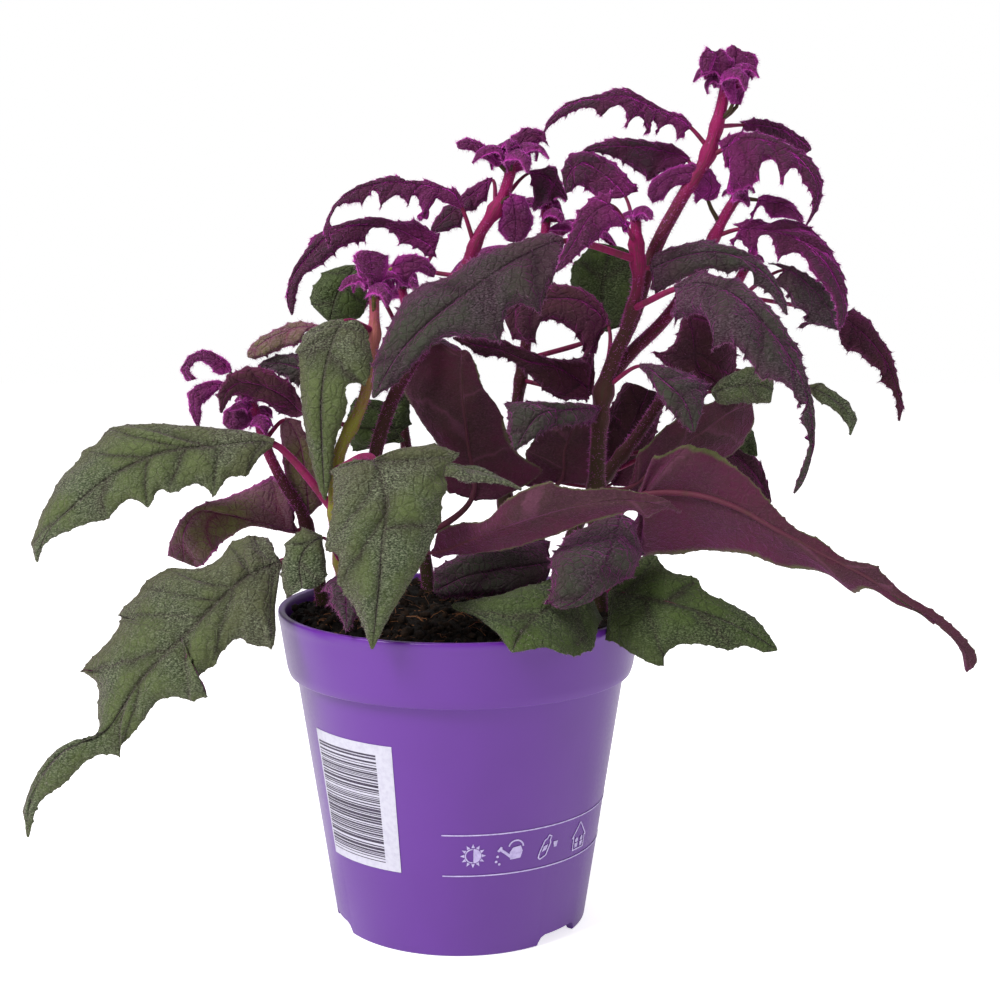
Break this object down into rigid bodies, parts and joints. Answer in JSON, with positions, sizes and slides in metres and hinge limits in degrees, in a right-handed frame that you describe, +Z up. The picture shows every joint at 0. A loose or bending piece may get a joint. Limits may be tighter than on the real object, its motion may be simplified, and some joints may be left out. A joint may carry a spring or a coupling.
{
  "type": "potted purple passion plant",
  "caption": "Bushy house plant with arching, toothed, velvety green and purple leaves on leaning stems, standing in a round tapered purple plastic nursery pot filled with peat.",
  "frame": {"origin": "centre of the pot's foot, on the surface that the pot stands on", "axes": "+Z up from the surface, +X along the longest spread of the leaves towards the plant's right, -Y the plant's front"},
  "size_m": [0.3079, 0.1712, 0.2982],
  "materials": {
    "pot": "satin purple moulded plastic",
    "soil": "loose dark moist peat",
    "stem": "finely hairy pink to brown plant stems",
    "leaf_green": "velvety olive green leaf with purple hairs",
    "leaf_dark": "velvety dark grey-purple young leaf with magenta hairs",
    "leaf_underside": "leaf that shows its magenta-purple underside"
  },
  "bodies": {
    "root": {"pot": "pot", "soil": "soil", "stem_tall": "stem", "stem_brown": "stem", "stem_yellow": "stem", "stem_low_left": "stem", "stem_right": "stem", "stem_back_left": "stem", "stem_back_middle": "stem", "leaf_far_left": "leaf_green", "leaf_low_left": "leaf_green", "leaf_low_small": "leaf_green", "leaf_middle_left": "leaf_green", "leaf_front_hanging": "leaf_green", "leaf_dark_hanging": "leaf_green", "leaf_shoulder_left": "leaf_dark", "leaf_maroon_left": "leaf_dark", "leaf_rim_dark": "leaf_dark", "leaf_long_dark": "leaf_dark", "leaf_arch_right": "leaf_dark", "leaf_tailed": "leaf_dark", "leaf_top_left": "leaf_dark", "leaf_second_left": "leaf_dark", "leaf_right_upper": "leaf_dark", "leaf_right_arch": "leaf_dark", "leaf_broad_purple": "leaf_dark", "leaf_pointed": "leaf_dark", "leaf_right_large": "leaf_dark", "leaf_behind_right": "leaf_dark", "leaf_far_right": "leaf_dark", "leaf_green_right": "leaf_green", "leaf_dark_right": "leaf_dark", "leaf_middle_right": "leaf_green", "leaf_low_right": "leaf_dark", "leaf_underside_right": "leaf_underside", "leaf_big_right": "leaf_underside", "leaf_front_mauve": "leaf_underside", "leaf_over_rim": "leaf_green", "leaf_rim_right": "leaf_green", "leaf_folded": "leaf_dark", "leaf_low_dark": "leaf_dark", "leaf_fuzzy": "leaf_green", "leaf_dark_horizontal": "leaf_dark", "leaf_big_magenta": "leaf_underside", "leaf_maroon_middle": "leaf_dark", "leaf_dark_arch": "leaf_dark", "leaf_left_arch": "leaf_dark", "leaf_left_arch_low": "leaf_dark", "leaf_green_behind": "leaf_green", "leaf_behind_left": "leaf_green", "leaf_back_low": "leaf_green", "leaf_back_left_side": "leaf_dark", "leaf_back_high": "leaf_dark", "leaf_back_centre": "leaf_underside", "leaf_back_upper": "leaf_dark", "leaf_back_arch": "leaf_green", "leaf_back_right": "leaf_green", "leaf_maroon_right": "leaf_dark", "leaf_brown_left": "leaf_dark", "leaf_brown_right": "leaf_dark"}
  },
  "joints": []
}
